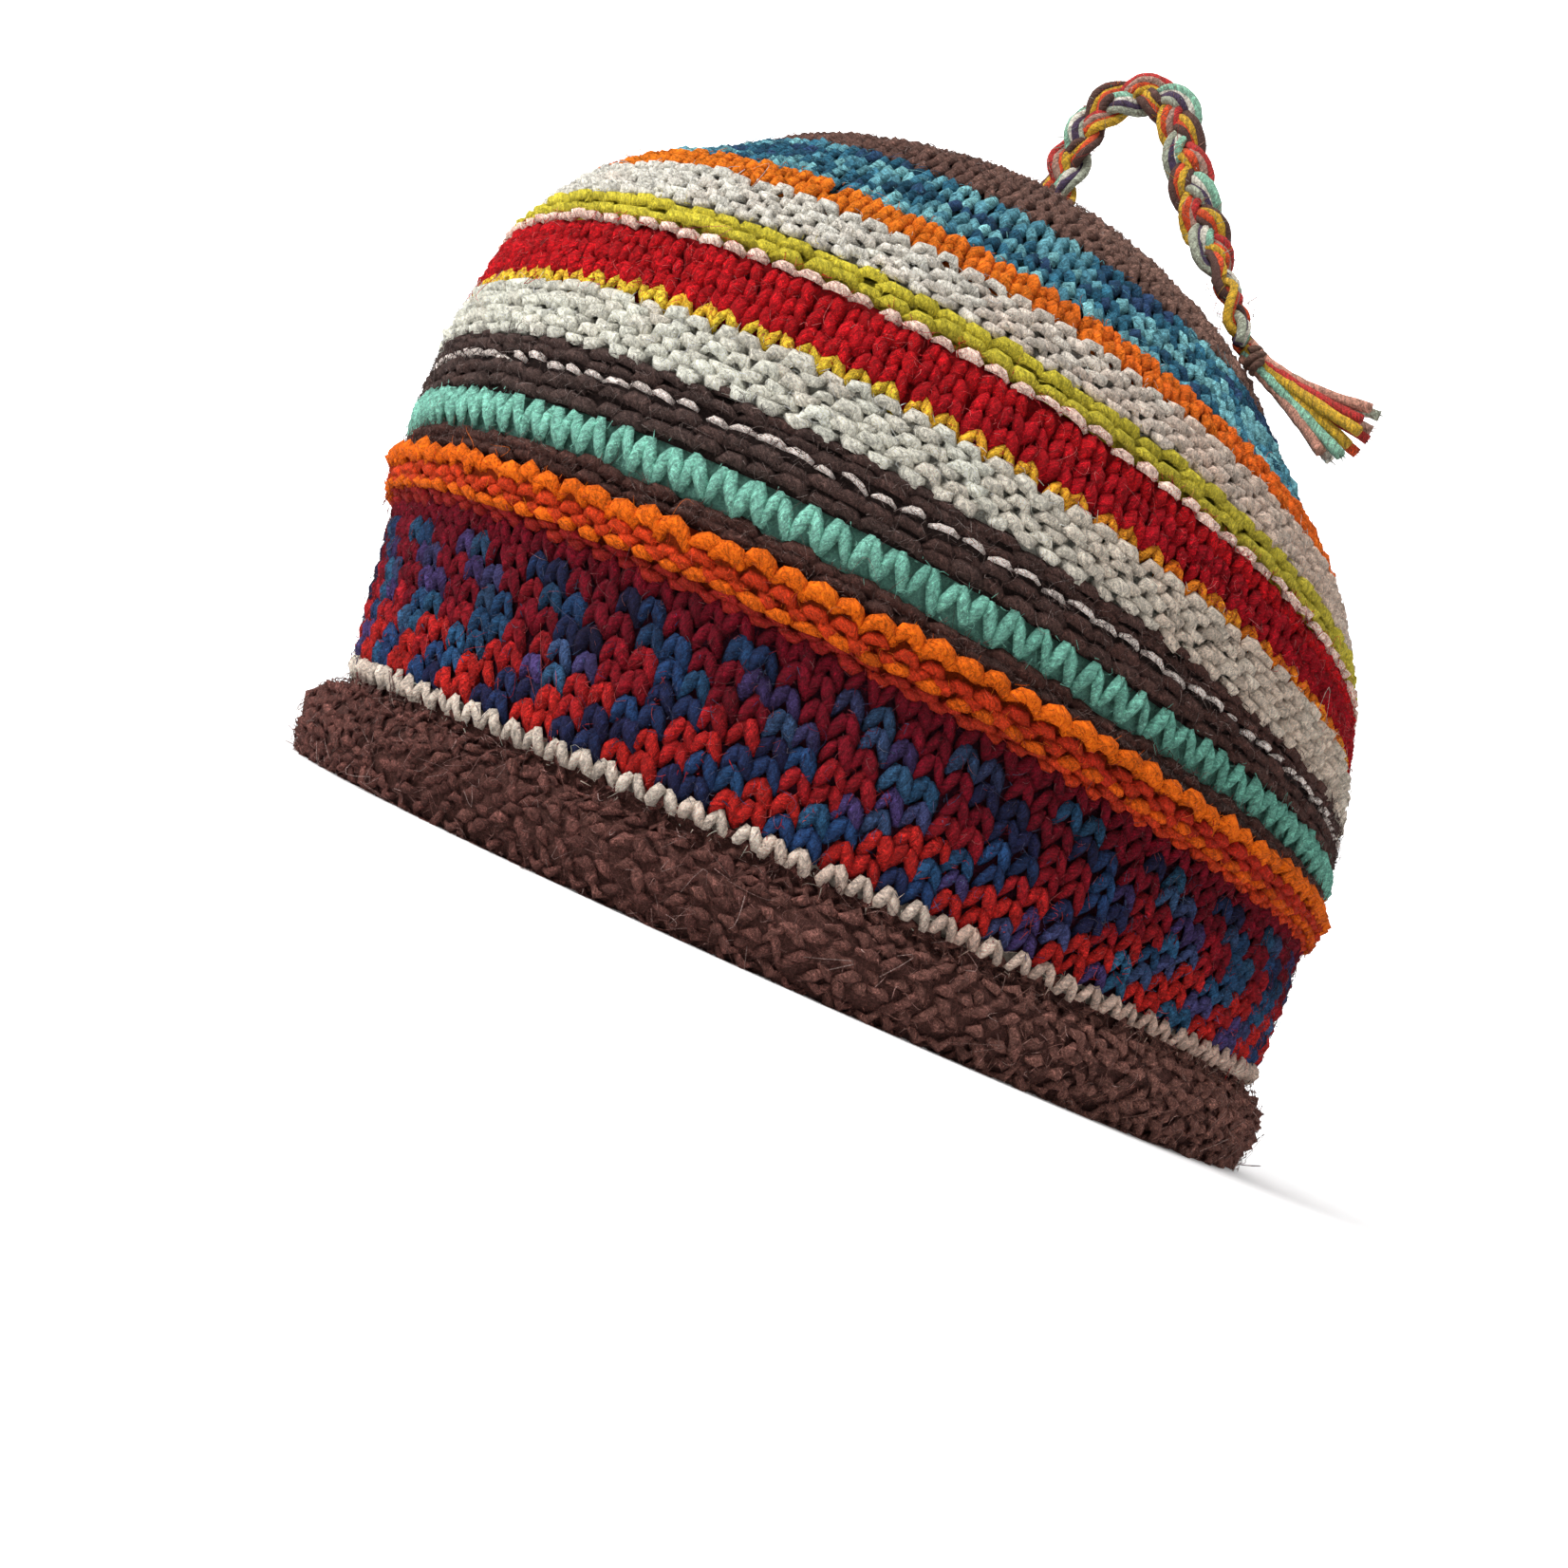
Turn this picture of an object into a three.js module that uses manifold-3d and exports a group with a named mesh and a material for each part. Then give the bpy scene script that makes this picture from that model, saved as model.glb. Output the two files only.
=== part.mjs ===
// A hand-knitted winter beanie with a rolled brim, coloured rounds, a plaited loop and a tassel.
// Lengths are in millimetres and angles in degrees. +Z is up, -Y is the wearer's front, +X the wearer's left.
// The cap stands on the flat underside of its roll at z = 0.
import * as THREE from "three";
import Module from "manifold-3d";

// Sizes of the cap
const halfWidth = 97.2;
const halfDepth = 114.5;
const capHeight = 176.5;
const wall = 3.6;
const seam = 0.3;
const lean = 18.5;
const leanTowards = 188;
const tilt = 6;
const tiltTowards = 108;

// Sizes of the rolled brim
const brimHalfWidth = 96;
const brimHalfDepth = 113;
const rollWidth = 14;
const rollHeight = 15.8;

// Sizes of the plaited loop
const plaitWidth = 9.6;
const plaitThickness = 6.6;
// The plait stands on edge in the loop and lies flat from flatFrom of its length, turned by flatTurn degrees
const flatFrom = 0.78;
const turnsFrom = 0.5;
const flatTurn = 90;
const loopRise = 31.5;
const loopTowards = 19;
const caughtAt = 0.872;
const stitchSlack = 0.9;
const crossingLength = 11;

// Sizes of the tassel
const tasselLength = 32;
const headLength = 9;
const headWidth = 9.4;
const yarnWidth = 2.4;
const tasselTowards = 32;
const tasselDrop = 8;

// How finely the forms are faceted
const sidesAround = 48;
const plaitSteps = 36;
const plaitSides = 10;

// Half section of the cap's outside: up is a share of capHeight, out a share of the half sizes
const meridian = [
  { up: 0.101, out: 0.932 },
  { up: 0.117, out: 0.94 },
  { up: 0.2, out: 0.956 },
  { up: 0.278, out: 0.968 },
  { up: 0.32, out: 0.982 },
  { up: 0.381, out: 0.988 },
  { up: 0.435, out: 0.984 },
  { up: 0.493, out: 0.97 },
  { up: 0.575, out: 0.943 },
  { up: 0.606, out: 0.922 },
  { up: 0.663, out: 0.87 },
  { up: 0.701, out: 0.819 },
  { up: 0.731, out: 0.765 },
  { up: 0.802, out: 0.653 },
  { up: 0.861, out: 0.56 },
  { up: 0.895, out: 0.472 },
  { up: 0.932, out: 0.355 },
  { up: 0.963, out: 0.222 },
  { up: 0.986, out: 0.111 },
  { up: 1, out: 0.025 },
];

// How far the cap leans and how its rounds slope at each height, as shares of lean and tilt
const posture = [
  { up: 0, lean: 0, tilt: 0 },
  { up: 0.101, lean: 0, tilt: 0 },
  { up: 0.2, lean: 0.14, tilt: 0.15 },
  { up: 0.278, lean: 0.28, tilt: 0.34 },
  { up: 0.32, lean: 0.34, tilt: 0.46 },
  { up: 0.435, lean: 0.52, tilt: 0.8 },
  { up: 0.575, lean: 0.7, tilt: 0.97 },
  { up: 0.701, lean: 0.84, tilt: 0.95 },
  { up: 0.861, lean: 0.96, tilt: 0.42 },
  { up: 1, lean: 1, tilt: 0.2 },
];

// The rounds above the roll: up is where each ends, swell how far it stands out as a share of wall
const rounds = [
  { name: "edge_round", up: 0.117, steps: 1, swell: 0, ridges: 1, colour: 0xe8d8c8 },
  { name: "patterned_band", up: 0.278, steps: 4, swell: 0, ridges: 1, colour: 0x9a1f33 },
  { name: "orange_ridge", up: 0.325, steps: 4, swell: 1, ridges: 1, colour: 0xf07818 },
  { name: "lower_brown_band", up: 0.344, steps: 1, swell: 0, ridges: 1, colour: 0x4d332e },
  { name: "mint_band", up: 0.381, steps: 2, swell: 0.14, ridges: 1, colour: 0x86c9b2 },
  { name: "upper_brown_band", up: 0.435, steps: 2, swell: 0, ridges: 1, colour: 0x4a3a36 },
  { name: "cream_ridge_band", up: 0.493, steps: 4, swell: 0.32, ridges: 2, colour: 0xe6e4d2 },
  { name: "red_band", up: 0.575, steps: 2, swell: 0.05, ridges: 1, colour: 0xc0141c },
  { name: "mustard_band", up: 0.606, steps: 1, swell: 0, ridges: 1, colour: 0xc9bb2e },
  { name: "beige_ridge_band", up: 0.663, steps: 4, swell: 0.32, ridges: 2, colour: 0xd9c6b8 },
  { name: "orange_band", up: 0.701, steps: 2, swell: 0.05, ridges: 1, colour: 0xe86a1c },
  { name: "blue_band", up: 0.825, steps: 4, swell: 0, ridges: 1, colour: 0x3f7fa3 },
];

// Section of the roll: inward is a share of rollWidth from its outer edge, up a share of rollHeight
const rollSection = [
  { inward: 0.74, up: 0 },
  { inward: 0.26, up: 0 },
  { inward: 0.06, up: 0.2 },
  { inward: 0, up: 0.48 },
  { inward: 0.06, up: 0.76 },
  { inward: 0.24, up: 0.95 },
  { inward: 0.36, up: 0.88 },
];
const rollInside = [
  { inward: 1, up: 0.66 },
  { inward: 0.96, up: 0.22 },
];

// Route of the plait from the apex to where it is caught down, caughtAt of capHeight up the cap
// Out is a share of the level way between them, rise a share of loopRise and drop of the fall between them.
const route = [
  { out: 0, rise: 0.02, drop: 0 },
  { out: -0.01, rise: 0.36, drop: 0 },
  { out: 0.005, rise: 0.75, drop: 0 },
  { out: 0.13, rise: 0.99, drop: 0 },
  { out: 0.3, rise: 0.96, drop: 0 },
  { out: 0.49, rise: 0.5, drop: 0 },
  { out: 0.7, rise: 0.02, drop: 0 },
  { out: 0.86, rise: 0, drop: 0.48 },
  { out: 1, rise: 0, drop: 1 },
];

// Loose yarns: turn and droop are shares of tasselSpread, reach a share of tasselLength
const tasselSpread = 26;
const yarns = [
  { turn: -1, droop: -0.3, reach: 0.86 },
  { turn: -0.6, droop: 0.1, reach: 0.97 },
  { turn: -0.75, droop: 0.75, reach: 0.9 },
  { turn: -0.25, droop: -0.35, reach: 1 },
  { turn: -0.2, droop: 0.45, reach: 0.95 },
  { turn: -0.3, droop: 0.9, reach: 0.88 },
  { turn: 0.2, droop: 0, reach: 0.98 },
  { turn: 0.3, droop: 0.8, reach: 0.93 },
  { turn: 0.65, droop: -0.25, reach: 0.9 },
  { turn: 0.75, droop: 0.4, reach: 0.96 },
  { turn: 1, droop: 0.7, reach: 0.84 },
];

const radians = THREE.MathUtils.degToRad;
const turn = 2 * Math.PI;
const heading = (degrees) => new THREE.Vector3(Math.cos(radians(degrees)), Math.sin(radians(degrees)), 0);

const outline = new THREE.SplineCurve(meridian.map((row) => new THREE.Vector2(row.out, row.up)));

// The share of the half sizes at a height, found on the smooth outline
function outAt(up) {
  let low = 0;
  let high = 1;
  for (let tries = 0; tries < 40; tries += 1) {
    const middle = (low + high) / 2;
    if (outline.getPoint(middle).y < up) {
      low = middle;
    } else {
      high = middle;
    }
  }
  return outline.getPoint(low).x;
}

// A posture column at a height, on straight lines between its rows
function postureAt(up, column) {
  const after = posture.findIndex((row) => row.up >= up);
  if (after < 1) {
    return posture[after < 0 ? posture.length - 1 : 0][column];
  }
  const [a, b] = [posture[after - 1], posture[after]];
  return THREE.MathUtils.mapLinear(up, a.up, b.up, a[column], b[column]);
}

// A point of the cap's outside at an angle and a height
function skinPoint(angle, up) {
  const out = outAt(up);
  const [along, depth] = [halfWidth * out * Math.cos(angle), halfDepth * out * Math.sin(angle)];
  const point = new THREE.Vector3(along, depth, up * capHeight);
  const slope = Math.tan(radians(tilt * postureAt(up, "tilt")));
  point.z -= slope * point.dot(heading(tiltTowards));
  return point.addScaledVector(heading(leanTowards), lean * postureAt(up, "lean"));
}

// The same point moved along the outward normal
function wallPoint(angle, up, outward) {
  const step = 0.002;
  const low = Math.max(up - step, meridian[0].up);
  const high = Math.min(up + step, 1);
  const rising = skinPoint(angle, high).sub(skinPoint(angle, low));
  const around = skinPoint(angle + step, up).sub(skinPoint(angle - step, up));
  const normal = around.cross(rising).normalize();
  return skinPoint(angle, up).addScaledVector(normal, outward);
}

// A closed mesh over rings of points: the rings join end to start, or each end is capped
function skin(rings, joined) {
  const count = rings[0].length;
  const points = rings.flat();
  const faces = [];
  const last = joined ? rings.length : rings.length - 1;
  for (let ring = 0; ring < last; ring += 1) {
    const [a, b] = [ring * count, ((ring + 1) % rings.length) * count];
    for (let side = 0; side < count; side += 1) {
      const next = (side + 1) % count;
      faces.push(a + side, a + next, b + next, a + side, b + next, b + side);
    }
  }
  if (!joined) {
    [rings[0], rings.at(-1)].forEach((ring, end) => {
      const first = end ? (rings.length - 1) * count : 0;
      const middle = ring.reduce((sum, point) => sum.add(point), new THREE.Vector3()).divideScalar(count);
      for (let side = 0; side < count; side += 1) {
        const pair = [first + ((side + 1) % count), first + side];
        faces.push(points.length, ...(end ? pair.reverse() : pair));
      }
      points.push(middle);
    });
  }
  let volume = 0;
  for (let face = 0; face < faces.length; face += 3) {
    const [p, q, r] = [points[faces[face]], points[faces[face + 1]], points[faces[face + 2]]];
    volume += p.dot(new THREE.Vector3().crossVectors(q, r));
  }
  if (volume < 0) {
    faces.reverse();
  }
  const geometry = new THREE.BufferGeometry().setFromPoints(points).setIndex(faces);
  geometry.computeVertexNormals();
  return geometry;
}

const cap = new THREE.Group();
cap.name = "beanie";

// Adds one named piece in its own woollen colour
function add(name, geometry, colour) {
  const material = new THREE.MeshStandardMaterial({ color: colour, roughness: 0.95, metalness: 0 });
  const mesh = new THREE.Mesh(geometry, material);
  mesh.name = name;
  cap.add(mesh);
}

const angles = Array.from({ length: sidesAround }, (_, side) => (turn * side) / sidesAround);
const ringOf = (pointAt) => angles.map(pointAt);
const seamUp = seam / 2 / capHeight;

// Rolled brim
// The fabric comes down inside, curls outward under itself and ends in a soft tube.
// Its neck meets the first round and its underside is flat where it rests.
function brimPoint(angle, inward, up) {
  const point = new THREE.Vector3(brimHalfWidth * Math.cos(angle), brimHalfDepth * Math.sin(angle), up);
  const normal = new THREE.Vector3(Math.cos(angle) / brimHalfWidth, Math.sin(angle) / brimHalfDepth, 0);
  return point.addScaledVector(normal.normalize(), -inward);
}
const brimRing = (row) => ringOf((angle) => brimPoint(angle, row.inward * rollWidth, row.up * rollHeight));
const neck = (outward) => ringOf((angle) => {
  const point = wallPoint(angle, meridian[0].up, outward);
  point.z -= seam / 2;
  return point;
});
add(
  "rolled_brim",
  skin([...rollSection.map(brimRing), neck(0), neck(-wall), ...rollInside.map(brimRing)], true),
  0x5b3b37,
);

// Rounds of the wall
// Each is a closed ring of even thickness, and the garter and purl ones swell in ridges.
rounds.forEach((row, index) => {
  const from = (index ? rounds[index - 1].up : meridian[0].up) + seamUp;
  const shares = Array.from({ length: row.steps + 1 }, (_, step) => step / row.steps);
  const upAt = (share) => THREE.MathUtils.lerp(from, row.up - seamUp, share);
  const swellAt = (share) => wall * row.swell * Math.abs(Math.sin(Math.PI * row.ridges * share));
  const outside = shares.map((share) => ringOf((angle) => wallPoint(angle, upAt(share), swellAt(share))));
  const inside = shares.toReversed().map((share) => ringOf((angle) => wallPoint(angle, upAt(share), -wall)));
  add(row.name, skin([...outside, ...inside], true), row.colour);
});

// Crown
// The last rounds draw in to a closed top.
const crownFrom = rounds.at(-1).up;
const crownShares = [0, 0.28, 0.52, 0.72, 0.88, 1];
const crownUp = (share) => THREE.MathUtils.lerp(crownFrom + seamUp, 1, share);
const crownRing = (share, outward) => ringOf((angle) => wallPoint(angle, crownUp(share), outward));
const crownOutside = crownShares.map((share) => crownRing(share, 0));
const crownInside = crownShares.slice(0, -1).map((share) => crownRing(share, -wall));
add("crown_top", skin([...crownOutside.toReversed(), ...crownInside], false), 0x6b5048);

// Plaited loop
// Three strands cross in turn, so its two edges bulge one after the other.
const apex = skinPoint(0, 1).add(skinPoint(Math.PI, 1)).multiplyScalar(0.5);
const caught = wallPoint(radians(loopTowards), caughtAt, plaitThickness / 2 + stitchSlack);
const level = new THREE.Vector3(caught.x - apex.x, caught.y - apex.y, 0);
const across = new THREE.Vector3(-level.y, level.x, 0).normalize();
const loopPoints = route.map((row) => {
  const point = apex.clone().addScaledVector(level, row.out);
  point.z += row.rise * loopRise + row.drop * (caught.z - apex.z);
  return point;
});
const loopPath = new THREE.CatmullRomCurve3(loopPoints, false, "centripetal");
const loopLength = loopPath.getLength();
const plaitRings = Array.from({ length: plaitSteps + 1 }, (_, step) => {
  const share = step / plaitSteps;
  const centre = loopPath.getPointAt(share);
  const along = loopPath.getTangentAt(share);
  const over = new THREE.Vector3().crossVectors(along, across).normalize();
  const onEdge = radians(flatTurn) * (1 - THREE.MathUtils.smoothstep(share, turnsFrom, flatFrom));
  const wide = across.clone().applyAxisAngle(along, onEdge);
  const thick = over.clone().applyAxisAngle(along, onEdge);
  return Array.from({ length: plaitSides }, (_, side) => {
    const angle = (turn * side) / plaitSides;
    const edge = Math.sign(Math.cos(angle)) * 0.5;
    const bulge = 1 + 0.13 * Math.cos(turn * ((share * loopLength) / crossingLength + edge / 2));
    return centre
      .clone()
      .addScaledVector(wide, (plaitWidth / 2) * bulge * Math.cos(angle))
      .addScaledVector(thick, (plaitThickness / 2) * Math.sin(angle));
  });
});
add("braid_loop", skin(plaitRings, false), 0x8a4a34);

// Tassel
// A bound head meets the plait's end, and the loose yarns are fused to it.
const wasm = await Module();
wasm.setup();
function solid(geometry) {
  const mesh = new wasm.Mesh({
    numProp: 3,
    vertProperties: new Float32Array(geometry.attributes.position.array),
    triVerts: new Uint32Array(geometry.index.array),
  });
  return new wasm.Manifold(mesh);
}
const tasselStart = loopPath.getPointAt(1).addScaledVector(loopPath.getTangentAt(1), seam);
const headAlong = loopPath.getTangentAt(1);
const headSides = 10;
const headTable = [
  { along: 0, wide: 0.82 },
  { along: 0.35, wide: 1 },
  { along: 0.75, wide: 0.9 },
  { along: 1, wide: 0.6 },
];
// The level turn of the yarns as they leave the head, bent from the plait's end towards tasselTowards
const flow = heading(tasselTowards);
flow.z = -Math.tan(radians(tasselDrop));
flow.normalize();
const headRings = headTable.map((row) => {
  const bend = new THREE.Vector3().lerpVectors(headAlong, flow, row.along).normalize();
  const side = across.clone().addScaledVector(bend, -across.dot(bend)).normalize();
  const over = new THREE.Vector3().crossVectors(bend, side);
  const centre = tasselStart.clone().addScaledVector(
    new THREE.Vector3().addVectors(headAlong, bend).normalize(),
    row.along * headLength,
  );
  return Array.from({ length: headSides }, (_, step) => {
    const angle = (turn * step) / headSides;
    return centre
      .clone()
      .addScaledVector(side, (headWidth / 2) * row.wide * Math.cos(angle))
      .addScaledVector(over, (headWidth / 2) * 0.8 * row.wide * Math.sin(angle));
  });
});
const headEnd = headRings.at(-1).reduce((sum, point) => sum.add(point), new THREE.Vector3());
headEnd.divideScalar(headSides);
const sideways = new THREE.Vector3(-flow.y, flow.x, 0).normalize();
const upward = new THREE.Vector3().crossVectors(flow, sideways);
const yarnSides = 5;
const yarnSolids = yarns.map((row) => {
  const way = flow
    .clone()
    .addScaledVector(sideways, Math.tan(radians(tasselSpread * row.turn)))
    .addScaledVector(upward, -Math.tan(radians((tasselSpread / 2) * row.droop)))
    .normalize();
  const free = (tasselLength - headLength) * row.reach;
  const stations = [-0.14, 0.35, 0.7, 1].map((share) => {
    const centre = headEnd.clone().addScaledVector(way, share * free);
    centre.z -= 0.08 * free * share * share;
    return { centre, half: (yarnWidth / 2) * (share === 1 ? 0.7 : 1) };
  });
  const side = new THREE.Vector3().crossVectors(way, upward).normalize();
  const over = new THREE.Vector3().crossVectors(side, way);
  const rings = stations.map(({ centre, half }) =>
    Array.from({ length: yarnSides }, (_, step) =>
      centre
        .clone()
        .addScaledVector(side, half * Math.cos((turn * step) / yarnSides))
        .addScaledVector(over, half * Math.sin((turn * step) / yarnSides)),
    ),
  );
  return solid(skin(rings, false));
});
const tasselSolid = wasm.Manifold.union([solid(skin(headRings, false)), ...yarnSolids]);
const tasselMesh = tasselSolid.getMesh();
const stride = tasselMesh.numProp;
const tasselPoints = new Float32Array(tasselMesh.numVert * 3);
for (let vertex = 0; vertex < tasselMesh.numVert; vertex += 1) {
  const from = vertex * stride;
  tasselPoints.set(tasselMesh.vertProperties.subarray(from, from + 3), vertex * 3);
}
const tasselGeometry = new THREE.BufferGeometry()
  .setAttribute("position", new THREE.BufferAttribute(tasselPoints, 3))
  .setIndex(new THREE.BufferAttribute(new Uint32Array(tasselMesh.triVerts), 1));
tasselGeometry.computeVertexNormals();
add("tassel", tasselGeometry, 0xc0602c);

// The group stands centred on its own plan
const box = new THREE.Box3().setFromObject(cap);
const middle = box.getCenter(new THREE.Vector3());
cap.position.set(-middle.x, -middle.y, -box.min.z);

export default cap;
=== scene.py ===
# %% [markdown]
# # A hand-knitted beanie
# The hat is knitted in rounds of thick wool, with a rolled brim, coloured bands, a plaited loop and a tassel.
# A bump map could fake the stitches, but thick wool shows its loops at the edge of the hat too. So every
# stitch is a small tube of yarn, and all of them lie on the same surface as the solid model.

import bpy
import numpy as np
from mathutils import Matrix, Vector


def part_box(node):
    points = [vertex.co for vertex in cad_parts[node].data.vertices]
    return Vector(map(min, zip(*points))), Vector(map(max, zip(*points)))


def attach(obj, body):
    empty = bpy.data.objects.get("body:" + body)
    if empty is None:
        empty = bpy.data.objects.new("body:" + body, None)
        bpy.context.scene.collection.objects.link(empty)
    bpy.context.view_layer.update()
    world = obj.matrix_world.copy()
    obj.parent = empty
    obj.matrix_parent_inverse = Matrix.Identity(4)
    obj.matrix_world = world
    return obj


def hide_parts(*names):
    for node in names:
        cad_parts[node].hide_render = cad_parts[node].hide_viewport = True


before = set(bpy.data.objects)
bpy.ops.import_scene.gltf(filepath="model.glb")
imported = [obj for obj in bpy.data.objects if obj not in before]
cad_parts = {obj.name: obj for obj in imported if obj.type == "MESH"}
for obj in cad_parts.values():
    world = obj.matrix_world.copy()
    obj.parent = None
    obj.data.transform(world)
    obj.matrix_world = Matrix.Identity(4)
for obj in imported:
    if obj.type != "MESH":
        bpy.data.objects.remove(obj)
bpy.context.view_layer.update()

MM = 0.001
rng = np.random.default_rng(11)
print("nodes:", len(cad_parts))

# %% [markdown]
# ## Sizes
# Lengths are in millimetres until a mesh is made. The tables are those of the solid model: up is a share of
# the cap's height, out a share of its half sizes. The last two columns of POSTURE are shares of the cap's
# lean and of the slope of its rounds.

# %% Sizes and tables
HALF_WIDTH, HALF_DEPTH, CAP_HEIGHT, WALL = 97.2, 114.5, 176.5, 3.6
LEAN, LEAN_TOWARDS, TILT, TILT_TOWARDS = 18.5, 188, 6, 108
BRIM_WIDTH, BRIM_DEPTH, ROLL_WIDTH, ROLL_HEIGHT = 96, 113, 14, 15.8
STITCHES = 124  # in a full round, which makes them about 5.3 mm wide

MERIDIAN = np.array([
    (0.101, 0.932), (0.117, 0.94), (0.2, 0.956), (0.278, 0.968), (0.32, 0.982), (0.381, 0.988),
    (0.435, 0.984), (0.493, 0.97), (0.575, 0.943), (0.606, 0.922), (0.663, 0.87), (0.701, 0.819),
    (0.731, 0.765), (0.802, 0.653), (0.861, 0.56), (0.895, 0.472), (0.932, 0.355), (0.963, 0.222),
    (0.986, 0.111), (1, 0.025),
])
POSTURE = np.array([
    (0, 0, 0), (0.101, 0, 0), (0.2, 0.14, 0.15), (0.278, 0.28, 0.34), (0.32, 0.34, 0.46),
    (0.435, 0.52, 0.8), (0.575, 0.7, 0.97), (0.701, 0.84, 0.95), (0.861, 0.96, 0.42), (1, 1, 0.2),
])
ROUNDS = {
    "edge_round": (0.101, 0.117), "patterned_band": (0.117, 0.278), "orange_ridge": (0.278, 0.325),
    "lower_brown_band": (0.325, 0.344), "mint_band": (0.344, 0.381), "upper_brown_band": (0.381, 0.435),
    "cream_ridge_band": (0.435, 0.493), "red_band": (0.493, 0.575), "mustard_band": (0.575, 0.606),
    "beige_ridge_band": (0.606, 0.663), "orange_band": (0.663, 0.701), "blue_band": (0.701, 0.825),
    "crown_top": (0.825, 1.0),
}


def heading(degrees):
    """The level direction (cos a, sin a, 0)."""
    a = np.radians(degrees)
    return np.array([np.cos(a), np.sin(a), 0.0])


low, high = (np.array(corner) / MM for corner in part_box("rolled_brim"))
CENTRE = np.array([(low[0] + high[0]) / 2, (low[1] + high[1]) / 2, 0.0])
print("centre of the brim:", CENTRE.round(2), "mm")

# %% [markdown]
# ## The cap's surface
# A knitted cap is round, soft and a little slumped. A smooth outline is turned round an ellipse, leant and
# tilted. A place on it is an angle around and a distance along the outline, so that rows of stitches keep
# their real height however the outline curves.

# %% The surface of the cap
def spline(rows, t):
    """Catmull-Rom through the rows at shares t of the way."""
    last = len(rows) - 1
    place = np.clip(t, 0, 1) * last
    i = np.minimum(place.astype(int), last - 1)
    w = (place - i)[..., None]
    a, b, c, d = (rows[np.clip(i + k, 0, last)] for k in (-1, 0, 1, 2))
    u, v = (c - a) / 2, (d - b) / 2
    return (2 * b - 2 * c + u + v) * w**3 + (3 * c - 3 * b - 2 * u - v) * w**2 + u * w + b


FINE = spline(MERIDIAN, np.linspace(0, 1, 3000))
STEP = np.diff(FINE, axis=0) * [CAP_HEIGHT, (HALF_WIDTH + HALF_DEPTH) / 2]
LENGTH = np.concatenate([[0], np.cumsum(np.hypot(*STEP.T))])


def at_up(up):
    """The distance along the outline at a height share."""
    return np.interp(up, FINE[:, 0], LENGTH)


def cap_place(angle, s):
    """The point at an angle and a distance s along the outline: ellipse, slope of the rounds, lean."""
    up = np.interp(s, LENGTH, FINE[:, 0])
    out = np.interp(s, LENGTH, FINE[:, 1])
    x, y = HALF_WIDTH * out * np.cos(angle), HALF_DEPTH * out * np.sin(angle)
    lean = LEAN * np.interp(up, POSTURE[:, 0], POSTURE[:, 1])
    slope = np.tan(np.radians(TILT * np.interp(up, POSTURE[:, 0], POSTURE[:, 2])))
    down, over = heading(TILT_TOWARDS), heading(LEAN_TOWARDS)
    z = up * CAP_HEIGHT - slope * (x * down[0] + y * down[1])
    return np.stack([x + lean * over[0], y + lean * over[1], z], -1) + CENTRE


def unit(v):
    """Each vector divided by its length."""
    return v / np.maximum(np.linalg.norm(v, axis=-1, keepdims=True), 1e-9)


def facing(place, angle, s):
    """Point, speed around and outward normal, from differences of 0.004 rad and 0.4 mm."""
    around = (place(angle + 0.002, s) - place(angle - 0.002, s)) / 0.004
    rising = place(angle, s + 0.2) - place(angle, s - 0.2)
    return place(angle, s), np.linalg.norm(around, axis=-1), unit(np.cross(around, rising))


print("outline:", round(LENGTH[-1], 1), "mm")

# %% [markdown]
# ## The rolled edge's surface
# Plain knitting curls outward at its edge. The curl is a closed-looking section carried round the brim's
# ellipse, and a place on it is again an angle and a distance, so the same stitches fit on it.
# In the section, the first number counts inward from the widest point and the second counts up, both as
# shares of the roll's width and height.

# %% The surface of the rolled edge
UNDER_CAP = [(0.46, 1.3), (0.42, 1.12)]
OUTSIDE = [(0.36, 0.88), (0.24, 0.95), (0.06, 0.76), (0, 0.48), (0.06, 0.2), (0.26, 0)]
INSIDE = [(0.74, 0), (0.96, 0.22), (1, 0.66), (0.74, 1.3)]
SECTION = np.array(UNDER_CAP + OUTSIDE + INSIDE)
ROLL_FINE = spline(SECTION, np.linspace(0, 1, 1200)) * [ROLL_WIDTH, ROLL_HEIGHT]
ROLL_LENGTH = np.concatenate([[0], np.cumsum(np.hypot(*np.diff(ROLL_FINE, axis=0).T))])


def roll_place(angle, s):
    """The point of the roll at an angle and -s along its section, from under the cap round to the inside.
    The section stands on the ellipse's own normal (cos a / width, sin a / depth)."""
    inward = np.interp(-s, ROLL_LENGTH, ROLL_FINE[:, 0])
    up = np.interp(-s, ROLL_LENGTH, ROLL_FINE[:, 1])
    x, y = BRIM_WIDTH * np.cos(angle), BRIM_DEPTH * np.sin(angle)
    normal = unit(np.stack([np.cos(angle) / BRIM_WIDTH, np.sin(angle) / BRIM_DEPTH], -1))
    return np.stack([x - normal[..., 0] * inward, y - normal[..., 1] * inward, up], -1) + CENTRE


print("roll section:", round(ROLL_LENGTH[-1], 1), "mm")

# %% [markdown]
# ## Meshes from arrays
# Thousands of separate objects would be slow, so a heap gathers tubes and walls as whole arrays and becomes
# one mesh. Each point carries its wool colour and a place on the yarn, for the material to use.

# %% A heap of points and faces
def rgb(code):
    """Linear colour of an sRGB hex code."""
    c = np.array([int(code[i : i + 2], 16) for i in (1, 3, 5)]) / 255
    return np.where(c <= 0.04045, c / 12.92, ((c + 0.055) / 1.055) ** 2.4)


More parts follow.
